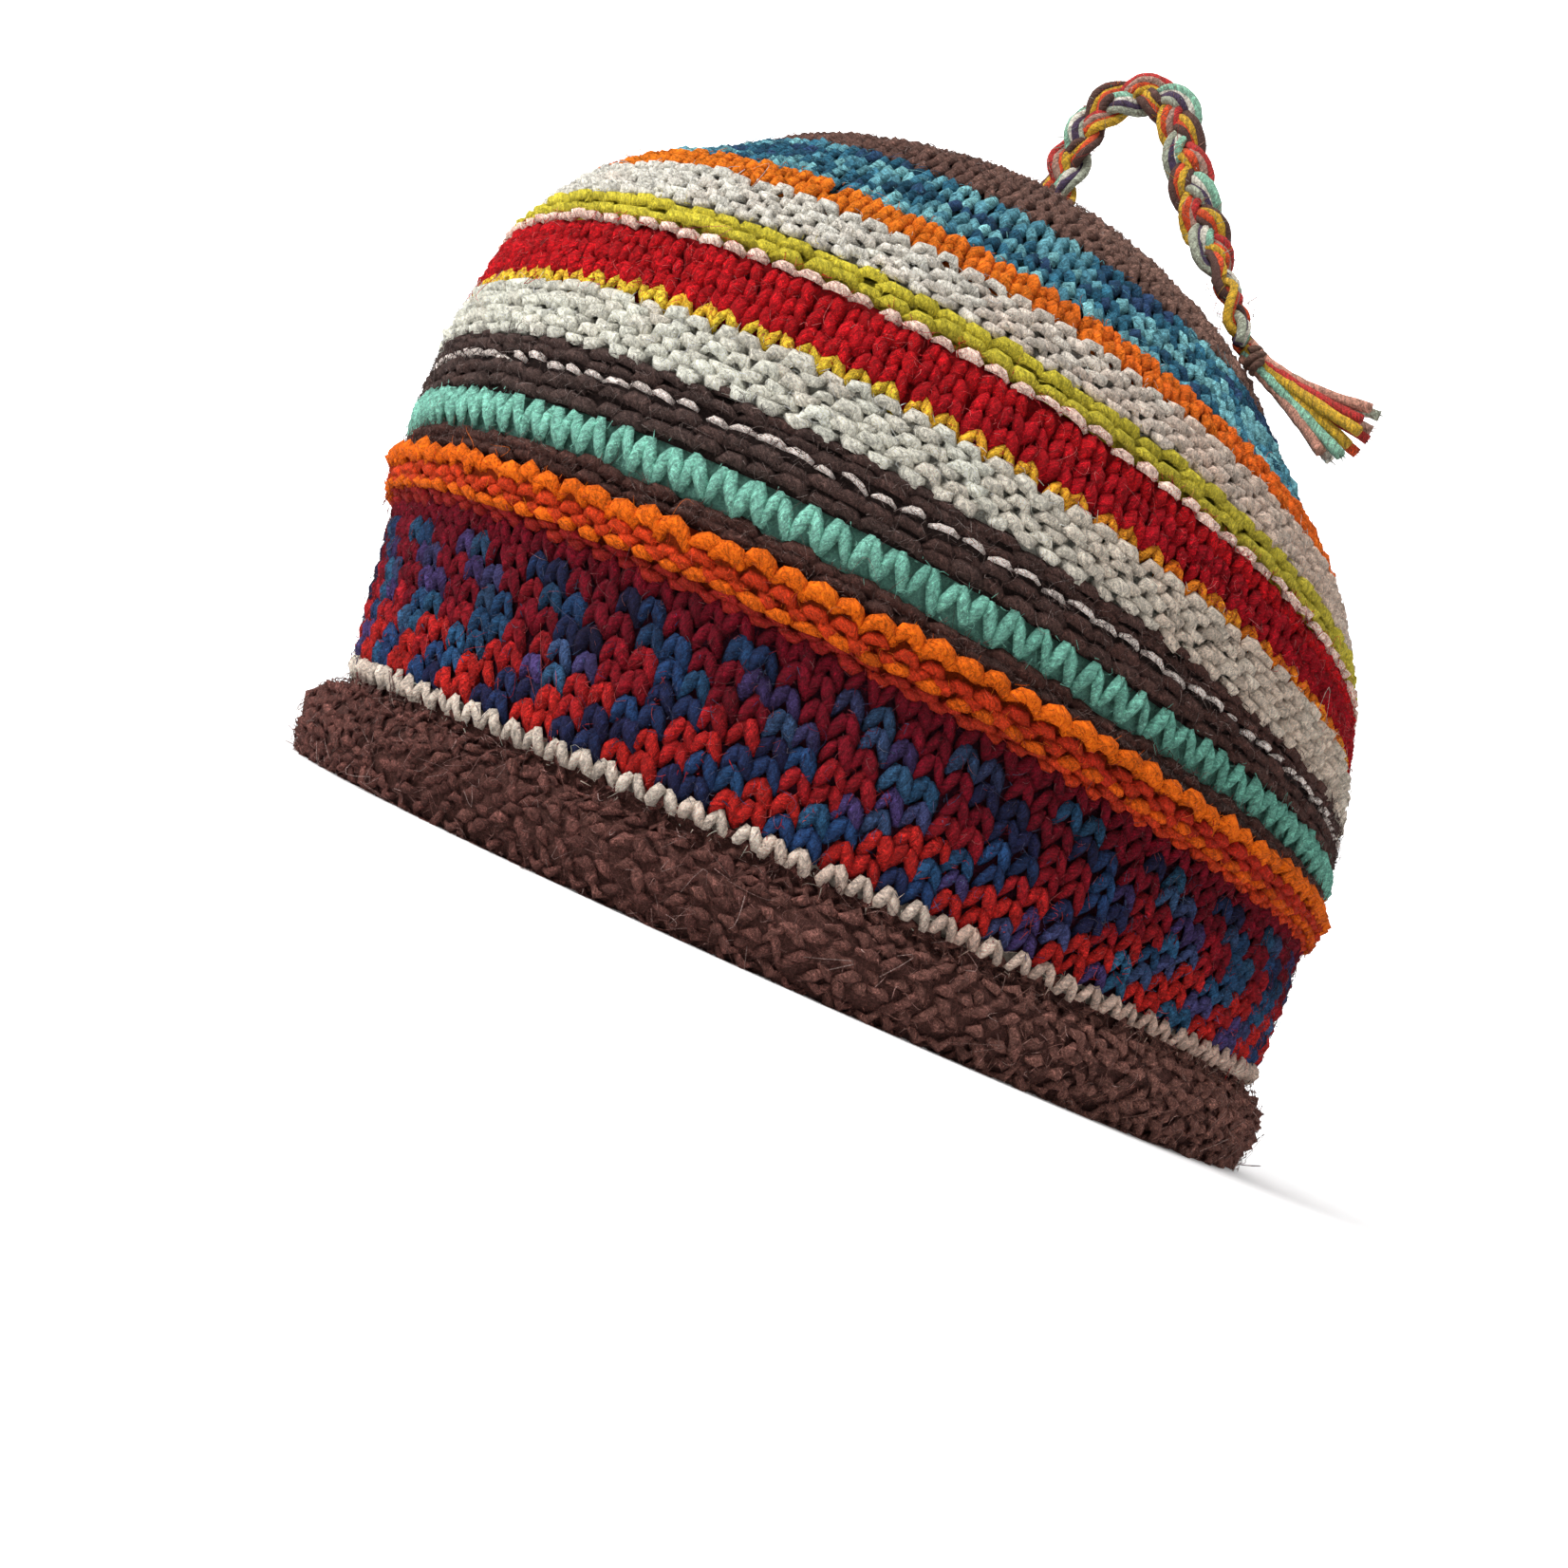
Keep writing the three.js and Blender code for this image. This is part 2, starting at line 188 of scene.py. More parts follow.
class Heap:
    """Points, faces, colours and yarn places that will be one mesh."""

    def __init__(self):
        self.co, self.wool, self.ply = [], [], []
        self.loops, self.sizes, self.count = [], [], 0

    def add(self, co, faces, wool, ply):
        """Adds points with their faces, as arrays of one row a face."""
        co = co.reshape(-1, 3)
        self.co.append(co)
        one_colour = np.ndim(wool) == 1
        self.wool.append(np.broadcast_to(wool, (len(co), 3)) if one_colour else wool.reshape(-1, 3))
        self.ply.append(ply.reshape(-1, 3))
        for table in faces:
            self.loops.append(table.ravel() + self.count)
            self.sizes.append(np.full(len(table), table.shape[1]))
        self.count += len(co)

    def mesh(self, name, material):
        """The joined object, in metres and smooth shaded, and its count of triangles."""
        co = np.concatenate(self.co) * MM
        loops, sizes = np.concatenate(self.loops), np.concatenate(self.sizes)
        starts = np.concatenate([[0], np.cumsum(sizes)[:-1]])
        made = bpy.data.meshes.new(name)
        made.vertices.add(len(co))
        made.vertices.foreach_set("co", co.astype(np.float32).ravel())
        made.loops.add(len(loops))
        made.loops.foreach_set("vertex_index", loops.astype(np.int32))
        made.polygons.add(len(sizes))
        made.polygons.foreach_set("loop_start", starts.astype(np.int32))
        made.update(calc_edges=True)
        made.polygons.foreach_set("use_smooth", np.ones(len(sizes), bool))
        wool = np.concatenate([np.concatenate(self.wool), np.ones((len(co), 1))], 1).astype(np.float32)
        made.attributes.new("wool", "FLOAT_COLOR", "POINT").data.foreach_set("color", wool.ravel())
        ply = np.concatenate(self.ply).astype(np.float32)
        made.attributes.new("ply", "FLOAT_VECTOR", "POINT").data.foreach_set("vector", ply.ravel())
        made.materials.append(material)
        piece = bpy.data.objects.new(name, made)
        bpy.context.scene.collection.objects.link(piece)
        return piece, int((sizes - 2).sum())


# %% Tubes of yarn
def tubes(heap, path, up, radius, wool, sides=4, flat=1.0, lumps=0.07):
    """Tubes along n paths of k points: path + radius (cos a B + flat sin a U), with T the way along it,
    B = T x up and U = B x T, made a little lumpy. The yarn place is (cos a, sin a, s), s along the path."""
    n, k = path.shape[:2]
    way = unit(np.gradient(path, axis=1))
    b = unit(np.cross(way, up))
    u = np.cross(b, way)
    a = 2 * np.pi * np.arange(sides) / sides
    radius = np.broadcast_to(radius, (n, k))[:, :, None, None] * rng.normal(1, lumps, (n, k, sides, 1))
    ca, sa = np.cos(a)[:, None], np.sin(a)[:, None]
    co = path[:, :, None] + radius * (ca * b[:, :, None] + flat * sa * u[:, :, None])
    steps = np.linalg.norm(np.diff(path, axis=1), axis=-1)
    s = np.concatenate([np.zeros((n, 1)), np.cumsum(steps, 1)], 1)
    s = (s + rng.uniform(0, 90, (n, 1)))[:, :, None]  # each yarn starts elsewhere in the pattern
    ply = np.stack([np.cos(a) + 0 * s, np.sin(a) + 0 * s, s + 0 * a], -1)
    index = np.arange(n * k * sides).reshape(n, k, sides)
    p, q = index[:, :-1], index[:, 1:]
    faces = [np.stack([p, q, np.roll(q, -1, 2), np.roll(p, -1, 2)], -1).reshape(-1, 4)]
    faces += [index[:, 0], index[:, -1, ::-1]]
    wool = np.broadcast_to(wool[:, :, None] if wool.ndim == 3 else wool, (n, k, sides, 3))
    heap.add(co, faces, wool, ply)


# %% [markdown]
# ## Stitches
# A knit stitch shows as two legs that meet at the top. A purl row shows as one yarn that snakes along, with
# a bump up and a bump down for each stitch. A dash is one short bump, and a rope is a row of long ones.
# Modelling one stitch and copying it would repeat to the eye, so every stitch is worked out with its own
# small errors of place, height, thickness and colour, as hands make them.

# %% Knit stitches
FULL_PITCH = 4.8  # mm: stitches closer than this pull their yarn thinner
LEG_HEIGHT = np.array([-0.35, 0.5, 0.95, 0.55]) - 0.5
LEG_THICKNESS = np.array([0.66, 1.08, 1.16, 0.9])


def squeezed(pitch):
    """How much of its thickness a yarn keeps at a pitch: pitch / 4.8 mm, from 0.45 to 1."""
    return np.clip(pitch / FULL_PITCH, 0.45, 1)


def knit(heap, place, s, count, height, wool, yarn=2.4, lift=0.0, foot=0.37, top=0.12):
    """Two legs a stitch: x = +-w (foot + (top - foot) t^1.2) and y = reach (t - 0.5), t from 0 to 1, bowed
    out by LEG_HEIGHT. The table wool holds one colour a stitch or one a leg."""
    legs = 2 * count
    t = np.linspace(0, 1, 4)
    spot = np.repeat(np.arange(count) + rng.normal(0, 0.07, count), 2) + rng.normal(0, 0.03, legs)
    side = np.tile([-1.0, 1.0], count)
    angle = 2 * np.pi * spot / count
    _, speed, _ = facing(place, angle, np.full_like(angle, s))
    wide = (2 * np.pi / count) * speed
    x = (side * wide)[:, None] * (foot + (top - foot) * t**1.2)
    reach = np.clip(1.16 * height, 4.2, 5.3) * rng.normal(1, 0.06, legs)
    y = reach[:, None] * (t - 0.5) + rng.normal(0, 0.16, (legs, 1))
    theta = angle[:, None] + x / speed[:, None]
    point, _, normal = facing(place, theta, s + y)
    arch = lift + LEG_HEIGHT + rng.normal(0, 0.18, (legs, 1))
    thick = yarn / 2 * LEG_THICKNESS * rng.normal(1, 0.1, (legs, 1)) * squeezed(wide)[:, None]
    shade = np.clip(np.repeat(wool, legs // len(wool), 0) * rng.normal(1, 0.1, (legs, 1)), 0, 1)
    tubes(heap, point + normal * arch[..., None], normal, thick, shade[:, None], flat=0.86)


def peaks(heap, place, s, count, height, wool, yarn=2.2, lift=0.0):
    """Knit stitches whose legs spread more and meet in a closed point."""
    knit(heap, place, s, count, 1.1 * height, wool, yarn, lift, 0.46, 0.05)


# %% Bumps, and the rows made of them
def bumps(heap, place, s, count, wool, yarn=2.2, lift=0.0, offset=0.0, bow=0.2, half=0.42, loose=0.06,
          tilt=0.25, rings=4):
    """One crescent a stitch: x = half pitch t, y = bow (1/3 - |t|^2.5), lower and thinner at its ends.
    It is off its place by loose, a share of the pitch, and off the level by tilt, in mm."""
    t = np.sin(np.linspace(-1, 1, rings) * np.pi / 2)
    t = np.sign(t) * abs(t) ** (1.0 if rings > 4 else 1.3)
    angle = 2 * np.pi * (np.arange(count) + offset + rng.normal(0, loose, count)) / count
    theta = angle[:, None] + half * (2 * np.pi / count) * t * rng.normal(1, 0.1, (count, 1))
    y = s + rng.normal(0, 4 * loose, (count, 1)) + rng.normal(0, tilt, (count, 1)) * t
    y = y + bow * rng.normal(1, 0.2, (count, 1)) * (1 / 3 - abs(t) ** 2.5)
    point, speed, normal = facing(place, theta, y)
    arch = lift + 0.5 - 1.2 * t**2 + rng.normal(0, 3 * loose, (count, 1))
    thick = yarn / 2 * (1.1 - 0.5 * t**2) * rng.normal(1, 0.1, (count, 1))
    thick = thick * squeezed(2 * np.pi / count * speed)
    shade = np.clip(wool * rng.normal(1, 0.1, (count, 1)), 0, 1)
    tubes(heap, point + normal * arch[..., None], normal, thick, shade[:, None], flat=0.9)


def purl(heap, place, s, count, height, wool, yarn, lift):
    """A row of upward crescents with downward ones between them, half a stitch on."""
    over, under = s + 0.18 * height, s - 0.28 * height
    bumps(heap, place, over, count, wool, yarn, lift, 0.0, 0.45 * height, 0.5)
    # The downward crescents sit 0.1 mm deeper and are painted 0.95 as dark: painted shade.
    bumps(heap, place, under, count, wool * 0.95, 0.96 * yarn, lift - 0.1, 0.5, -0.34 * height, 0.42)


def dash(heap, place, s, count, height, wool, yarn, lift):
    """A row of short level bumps."""
    bumps(heap, place, s, count, wool, yarn, lift, 0.0, 0.15, 0.44)


def ridge(heap, place, s, count, height, wool, yarn, lift):
    """A row of plump arcs that overlap, as along the top of a garter ridge."""
    bumps(heap, place, s, count, wool, yarn, lift, 0.0, 0.62 * height, 0.54, rings=7)


def rope(heap, place, s, count, height, wool, yarn, lift):
    """A row of long level bumps that overlap, so that it reads as one soft line of wool."""
    bumps(heap, place, s, count, wool, yarn, lift, 0.0, 0.3 * height, 0.66, 0.08, 0.2)


# %% [markdown]
# ## Loose fibres and the wall behind
# Wool is fuzzy: fibres stand out of the yarn and curl. A hair system would not export, so each fibre is a
# thin tube of three sides. Behind the stitches lies a closed wall of wool, which gives the hat its inside;
# it is coloured darker than its yarn, which paints shade into the gaps between the stitches.

# %% Fibres and walls
SHORT = {"longest": 2.8, "rise": 0.5, "thick": 0.1, "curl": 0.1, "rings": 2}
MIDDLING = {"longest": 3.6, "rise": 0.9, "thick": 0.07, "curl": 0.4, "rings": 4}
LONG = {"longest": 7.0, "rise": 1.8, "thick": 0.05, "curl": 0.5, "rings": 7}


def hairs(heap, place, span, count, wool, base, haze, longest, rise, thick, curl, rings):
    """Loose fibres: a start at base over the wall, a way along the surface, a rise and a sideways curl.
    Each takes the colour of its row and place in the table wool, made up to haze paler, and stays above
    the floor: z >= 0.15."""
    t = np.linspace(0, 1, rings)
    angle, share = rng.uniform(0, 2 * np.pi, count), rng.uniform(0, 1, count)
    point, _, normal = facing(place, angle, span[0] + share * (span[1] - span[0]))
    turn = rng.uniform(0, 2 * np.pi, count)
    side = unit(np.cross(normal, [0.0, 0.0, 1.0]) + 1e-6)
    along = unit(np.cos(turn)[:, None] * side + np.sin(turn)[:, None] * np.cross(normal, side))
    across = np.cross(normal, along)
    length = longest * rng.uniform(0.3, 1, (count, 1)) ** 1.6
    bend = rng.normal(0, curl, (count, 1)) * length
    bow = rng.uniform(1.5, 4.5, (count, 1))
    foot = base * rng.uniform(0.8, 1.05, (count, 1))
    height = rise * rng.uniform(0.1, 1, (count, 1))
    out = foot + height * np.sin(np.pi * rng.uniform(0.35, 0.95, (count, 1)) * t)
    path = (
        point[:, None]
        + along[:, None] * (length * t * 0.8)[..., None]
        + across[:, None] * (bend * np.sin(bow * t))[..., None]
        + normal[:, None] * out[..., None]
    )
    path[..., 2] = np.maximum(path[..., 2], 0.15)
    width = thick * rng.uniform(0.7, 1.3, (count, 1)) * np.interp(t, [0, 0.6, 1], [1, 0.9, 0.4])
    row = (share * len(wool)).astype(int).clip(0, len(wool) - 1)
    spot = (angle / (2 * np.pi) * wool.shape[1]).astype(int) % wool.shape[1]
    pale = haze * rng.uniform(0, 1, (count, 1)) ** 2 * np.array([1.0, 0.86, 0.8])
    tint = np.clip(wool[row, spot] * rng.uniform(0.7, 1.4, (count, 1)) + pale, 0, 1)
    tubes(heap, path, normal[:, None] + 0 * path, width, tint[:, None], sides=3, lumps=0.0)


def shell(heap, place, span, colour, outer, inner, around=104, along=4):
    """A closed wall between two distances from the surface, as a ring of quads."""
    theta = np.linspace(0, 2 * np.pi, around, endpoint=False)
    s = np.linspace(*span, along + 1)
    a, b = np.meshgrid(theta, s, indexing="ij")
    point, _, normal = facing(place, a, b)
    rings = np.concatenate([point + normal * outer, (point + normal * inner)[:, ::-1]], 1)
    index = np.arange(rings.shape[0] * rings.shape[1]).reshape(rings.shape[:2])
    p, q = index, np.roll(index, -1, 0)
    quads = np.stack([p, q, np.roll(q, -1, 1), np.roll(p, -1, 1)], -1).reshape(-1, 4)
    ply = np.zeros(rings.shape)
    ply[..., 0] = a[:, :1] * STITCHES / 2
    ply[..., 2] = np.concatenate([b, b[:, ::-1]], 1) / 4.4
    heap.add(rings, [quads], colour, ply)


# %% [markdown]
# ## Wool
# The yarn is carded wool, spun in two plies and left unpolished: matt, soft at its edges, with fibres that
# cross each other. One material recipe serves every yarn. Its colour comes from the stitch, is broken up by
# fibres that wind along the yarn, gets painted shade in the groove where the two plies meet, and thin pale
# curls on top.
# The real fibres are about 0.03 mm thick, too fine to show, so they are drawn about 0.2 mm thick.

# %% Material
def node(tree, kind, links=None, **settings):
    """Adds a node, sets its settings and sockets, and links its inputs."""
    made = tree.nodes.new("ShaderNode" + kind)
    for key, value in settings.items():
        setattr(made, key, value)
    for socket, value in (links or {}).items():
        if isinstance(value, bpy.types.NodeSocket):
            tree.links.new(value, made.inputs[socket])
        else:
            made.inputs[socket].default_value = value
    return made


def curly(tree, place, scale):
    """A mask of thin curly lines: 1 where a distorted noise is 0.5, down to 0 at 0.03 from it."""
    settings = {"Vector": place, "Scale": scale, "Detail": 1.0, "Distortion": 1.8}
    noise = node(tree, "TexNoise", settings).outputs["Fac"]
    apart = node(tree, "Math", {0: noise, 1: 0.5}, operation="SUBTRACT").outputs[0]
    apart = node(tree, "Math", {0: apart}, operation="ABSOLUTE").outputs[0]
    fade = {"Value": apart, "From Max": 0.03, "To Min": 1.0, "To Max": 0.0}
    return node(tree, "MapRange", fade).outputs["Result"]


PLY_TURN = 1.5  # radians a mm: one twist of the two plies takes about 4.2 mm
FUZZ_SCALE, CURL_SCALES = 950.0, (380.0, 610.0)  # patterns a metre: about 1 mm, 2.6 mm and 1.6 mm


def wool(name, tint, sheen=0.5, contrast=0.55, curls=0.8):
    """Wool yarn: colour x (streaks of fibre) x (fuzz) x (painted shade in the groove between the plies) x
    (pale curls), rough, with a bump from the same and a soft sheen. The plies wind round the yarn, so the
    place on it is turned by 1.5 s about its own length."""
    material = bpy.data.materials.new(name)
    material.use_nodes = True
    tree = material.node_tree
    tree.nodes.clear()
    colour = node(tree, "Attribute", attribute_name="wool").outputs["Color"]
    place = node(tree, "Attribute", attribute_name="ply").outputs["Vector"]
    own = node(tree, "TexCoord").outputs["Object"]
    along = node(tree, "SeparateXYZ", {"Vector": place}).outputs["Z"]
    angle = node(tree, "Math", {0: along, 1: PLY_TURN}, operation="MULTIPLY").outputs[0]
    turned = node(tree, "VectorRotate", {"Vector": place, "Angle": angle}, rotation_type="Z_AXIS")
    turned = turned.outputs["Vector"]
    stretch = node(tree, "Mapping", {"Vector": turned, "Scale": (2.6, 2.6, 0.5)}).outputs["Vector"]
    fibre = {"Vector": stretch, "Scale": 1.0, "Detail": 4.0, "Roughness": 0.75}
    fibre = node(tree, "TexNoise", fibre).outputs["Fac"]
    fuzz = {"Vector": own, "Scale": FUZZ_SCALE, "Detail": 3.0, "Roughness": 0.7, "Distortion": 1.6}
    fuzz = node(tree, "TexNoise", fuzz).outputs["Fac"]
    side = node(tree, "SeparateXYZ", {"Vector": turned}).outputs["X"]
    ply = node(tree, "Math", {0: side}, operation="ABSOLUTE").outputs[0]
    # The groove where the plies meet is painted down to 0.72 as dark: painted shade, and a dip in the bump.
    groove = {"Value": ply, "From Max": 0.45, "To Min": 0.72, "To Max": 1.05}
    groove = node(tree, "MapRange", groove).outputs["Result"]
    streak = {"Value": fibre, "From Min": 0.32, "From Max": 0.68}
    streak.update({"To Min": 1 - contrast, "To Max": 1 + contrast})
    streak = node(tree, "MapRange", streak).outputs["Result"]
    soft = {"Value": fuzz, "From Min": 0.35, "From Max": 0.65, "To Min": 0.55, "To Max": 1.5}
    soft = node(tree, "MapRange", soft).outputs["Result"]
    grain = node(tree, "Math", {0: streak, 1: soft}, operation="MULTIPLY").outputs[0]
    tone = node(tree, "Math", {0: grain, 1: groove}, operation="MULTIPLY").outputs[0]
    wide, tight = (curly(tree, own, scale) for scale in CURL_SCALES)
    curl = node(tree, "Math", {0: wide, 1: tight}, operation="MAXIMUM").outputs[0]
    pale = node(tree, "MapRange", {"Value": curl, "To Min": 1.0, "To Max": 1 + curls}).outputs["Result"]
    tone = node(tree, "Math", {0: tone, 1: pale}, operation="MULTIPLY").outputs[0]
    mixed = node(tree, "VectorMath", {0: colour, "Scale": tone}, operation="SCALE").outputs["Vector"]
    twisted = node(tree, "Math", {0: fibre, 1: groove}, operation="ADD").outputs[0]
    height = node(tree, "Math", {0: twisted, 1: fuzz}, operation="ADD").outputs[0]
    height = node(tree, "Math", {0: curl, 1: 0.35, 2: height}, operation="MULTIPLY_ADD").outputs[0]
    relief = node(tree, "Bump", {"Height": height, "Strength": 1.0, "Distance": 0.0007}).outputs["Normal"]
    shader = node(tree, "BsdfPrincipled", {
        "Base Color": mixed, "Normal": relief, "Roughness": 0.92, "Specular IOR Level": 0.15,
        "Sheen Weight": sheen, "Sheen Roughness": 0.6, "Sheen Tint": (*np.clip(tint, 0, 1), 1),
    })
    node(tree, "OutputMaterial", {"Surface": shader.outputs["BSDF"]})
    return material


# %% [markdown]
# ## The coloured rounds
# Each row of the table is one course of stitches: its share of the band's height, its stitch, how far it
# stands out in mm, its yarn's thickness in mm, and its two colours, which drift into each other around the
# cap as self-striping wool does. For a chart or a mottle the last value is the row's number.

# %% Colours and courses
COLOURS = {
    "brim": "#66403a", "brim_light": "#80584e", "pale": "#ecdccc", "pale_pink": "#dcb6a4",
    "bright_red": "#b8221c", "crimson": "#860c22", "blue": "#224674", "navy": "#1d2446",
    "teal": "#2a5c7c", "violet": "#473a6c", "orange": "#ee6e10", "orange_deep": "#e05a10",
    "flame": "#d8401c", "brown": "#4e322c", "brown_grey": "#4a3a36", "mint": "#8accb8",
    "mint_shade": "#66a694", "dash": "#e6d8d0", "cream": "#f2f1e2", "cream_pink": "#e2c8b4",
    "yellow": "#e3c83c", "red": "#b21018", "red_deep": "#920a1a", "dash_warm": "#efd3c2",
    "mustard": "#d8c840", "mustard_shade": "#c4b440", "beige": "#f2eee2", "beige_pink": "#e2c2ae",
    "upper_orange": "#f0801e", "upper_deep": "#e4601c", "aqua": "#86c4c8", "sea": "#33708a",
    "deep_sea": "#164258", "slate_blue": "#2c446c", "crown": "#5e433b", "crown_light": "#75584d",
}
CHART_ROWS, MOTTLE_ROWS, CROWN_ROWS = 8, 6, 17
COURSES = {
    "edge_round": [(1.0, peaks, 1.0, 1.8, "pale", "pale_pink")],
    "patterned_band": [(1 / CHART_ROWS, peaks, 0.3, 2.2, "chart", row) for row in range(CHART_ROWS)],
    "orange_ridge": [
        (0.22, purl, 1.0, 2.2, "crimson", "flame"), (0.12, dash, 2.6, 2.0, "orange", "orange_deep"),
        (0.3, purl, 2.3, 2.3, "flame", "bright_red"), (0.36, ridge, 2.5, 3.1, "orange", "orange"),
    ],
    "lower_brown_band": [
        (0.5, rope, 0.2, 2.3, "brown", "brown_grey"), (0.5, rope, 0.1, 2.3, "brown", "brown"),
    ],
    "mint_band": [(1.0, peaks, 0.9, 2.3, "mint", "mint_shade")],
    "upper_brown_band": [
        (0.24, rope, 0.3, 2.4, "brown_grey", "brown"), (0.24, rope, 0.3, 2.4, "brown_grey", "brown"),
        (0.2, dash, 0.9, 1.25, "dash", "dash"), (0.16, rope, 0.0, 2.0, "brown_grey", "brown"),
        (0.16, rope, 0.3, 2.0, "brown_grey", "brown"),
    ],
    "cream_ridge_band": [(1 / 3, purl, 0.9, 2.65, "cream", "cream_pink")] * 3,
    "red_band": [
        (0.12, peaks, 0.3, 1.9, "yellow", "upper_orange"), (0.24, knit, 0.4, 2.5, "red", "red_deep"),
        (0.24, knit, 0.5, 2.5, "red", "red_deep"), (0.24, knit, 0.4, 2.4, "red", "red"),
        (0.16, dash, 1.5, 2.0, "dash_warm", "dash_warm"),
    ],
    "mustard_band": [
        (0.5, rope, 0.5, 2.8, "mustard", "mustard_shade"),
        (0.5, rope, 0.6, 2.9, "mustard", "mustard_shade"),
    ],
    "beige_ridge_band": [(1 / 3, purl, 0.9, 2.6, "beige", "beige_pink")] * 3,
    "orange_band": [(0.5, knit, 0.4, 2.5, "upper_orange", "upper_deep")] * 2,
    "blue_band": [(1 / MOTTLE_ROWS, knit, 0.2, 2.5, "mottle", row) for row in range(MOTTLE_ROWS)],
    "crown_top": [(1 / CROWN_ROWS, knit, 0.2, 2.5, "crown", "crown_light")] * CROWN_ROWS,
}
print("courses:", sum(len(rows) for rows in COURSES.values()))


# %% Colours of a course
def around_noise(count, waves, seed):
    """Smooth noise from 0 to 1 around the cap: a sum of six sines of 1 to waves turns."""
    own = np.random.default_rng(seed)
    j = 2 * np.pi * np.arange(count) / count
    turns = own.integers(1, waves, 6)
    total = sum(np.sin(k * j + phase) for k, phase in zip(turns, own.uniform(0, 6.28, 6)))
    return 0.5 + 0.5 * np.tanh(total * 0.7)


def blend_of(names, pick):
    """The colour at a share pick of the way through the named colours."""
    stops = np.array([rgb(COLOURS[name]) for name in names])
    place = pick * (len(stops) - 1)
    return np.stack([np.interp(place, range(len(stops)), stops[:, c]) for c in range(3)], -1)


def charted(row, count):
    """A row of the chevrons: two red, two blue, one stitch on each row up to row 4 and then back. The top
    row is all red. Both colours grow darker upward, painted shade under the orange ridge: 1.06 - 0.42 warm^2."""
    shift = row if row < 4 else 7 - row
    red = ((np.arange(count) - shift) % 4 < 2) | (row == 7)
    warm = np.clip((row - 1) / 3.5 + rng.normal(0, 0.2, count), 0, 1)[:, None]
    reds = rgb(COLOURS["bright_red"]) * (1 - warm) + rgb(COLOURS["crimson"]) * warm
    pick = around_noise(count, 14, row // 2 + 3) + rng.normal(0, 0.16, count)
    blues = blend_of(("navy", "blue", "teal", "violet"), pick)
    # The factor 1.06 - 0.42 warm^2 is painted shade, darkest under the orange ridge.
    return np.where(red[:, None], reds, blues) * (1.06 - 0.42 * warm**2) * rng.normal(1, 0.08, (count, 1))


def mottled(row, count):
    """A row of the blue band: long patches of aqua and blue with random stitches in them."""
    pick = around_noise(count, 16, row + 40) * 0.7 + rng.uniform(0, 0.42, count) - 0.1 + 0.12 * (row / 5)
    return blend_of(("aqua", "sea", "aqua", "sea", "deep_sea", "slate_blue"), pick)


def drifting(first, second, count):
    """From the first colour to the second and back: exp(-((angle - 10 deg) / 0.75 rad)^2)."""
    j = np.arange(count)
    turn = (2 * np.pi * j / count - np.radians(10) + np.pi) % (2 * np.pi) - np.pi
    drift = np.exp(-((turn / 0.75) ** 2)) + rng.normal(0, 0.12, count)
    drift = np.clip(drift, 0, 1)[:, None]
    return rgb(COLOURS[first]) * (1 - drift) + rgb(COLOURS[second]) * drift


def course_colours(first, second, count):
    """A colour for each stitch of a course, and for each leg of a mottled one."""
    if first == "chart":
        return charted(second, count)
    if first == "mottle":
        return mottled(second, 2 * count)
    return drifting(first, second, count)


# %% [markdown]
# ## Seating the pieces
# Each piece stands for one node of the solid model: it rides on the hat's one body, replaces the node and
# takes its finish.

# %% Seating a piece
triangles = {}


def place_piece(heap, name, material, replaced):
    """Makes the object, seats it on the frame and counts its triangles."""
    piece, triangles[name] = heap.mesh(name, material)
    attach(piece, "root")
    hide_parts(replaced)
    return piece


# %% [markdown]
# ## The rounds, one piece a band
# Each band is a wall of wool with its courses of stitches on it and loose fibres over them. Where the cap
# narrows, a course has fewer stitches, as a real crown is decreased. The browns and the red are hairier
# than the smooth cream, so each band has its own count of fibres and its own finish.

# %% Rounds
GAUGE = 5.1  # mm between stitches where the cap narrows
NARROWS = ("blue_band", "crown_top")
MANY_COLOURED = ("patterned_band", "blue_band")
APEX_HOLE = 2.0  # mm of the outline that the crown's wall leaves open, under the plait
# The wall's share of the colour darkens it: painted shade in the gaps between the stitches.
FINISH = {  # loose fibres; the wall's share of the colour; pale curls; how much paler a loose fibre is
    "edge_round": (500, 0.5, 0.3, 0.04), "patterned_band": (4400, 0.4, 0.7, 0.16),
    "orange_ridge": (1300, 0.6, 0.35, 0.1), "lower_brown_band": (2600, 0.4, 1.2, 0.3),
    "mint_band": (500, 0.5, 0.4, 0.04), "upper_brown_band": (3200, 0.4, 1.2, 0.3),
    "cream_ridge_band": (1100, 0.85, 0.15, 0.04), "red_band": (2400, 0.6, 1.2, 0.25),
    "mustard_band": (500, 0.8, 0.3, 0.04), "beige_ridge_band": (1000, 0.85, 0.15, 0.04),
    "orange_band": (900, 0.7, 0.4, 0.04), "blue_band": (2200, 0.4, 0.5, 0.1),
    "crown_top": (4000, 0.4, 1.2, 0.3),
}


def stitches_at(band, s):
    """The stitches of a course: a full round, or fewer where the cap narrows."""
    _, speed, _ = facing(cap_place, np.linspace(0, 6.28, 40), np.full(40, s))
    fit = int(round(speed.mean() * 2 * np.pi / GAUGE))
    return int(np.clip(fit, 6, STITCHES)) if band in NARROWS else STITCHES


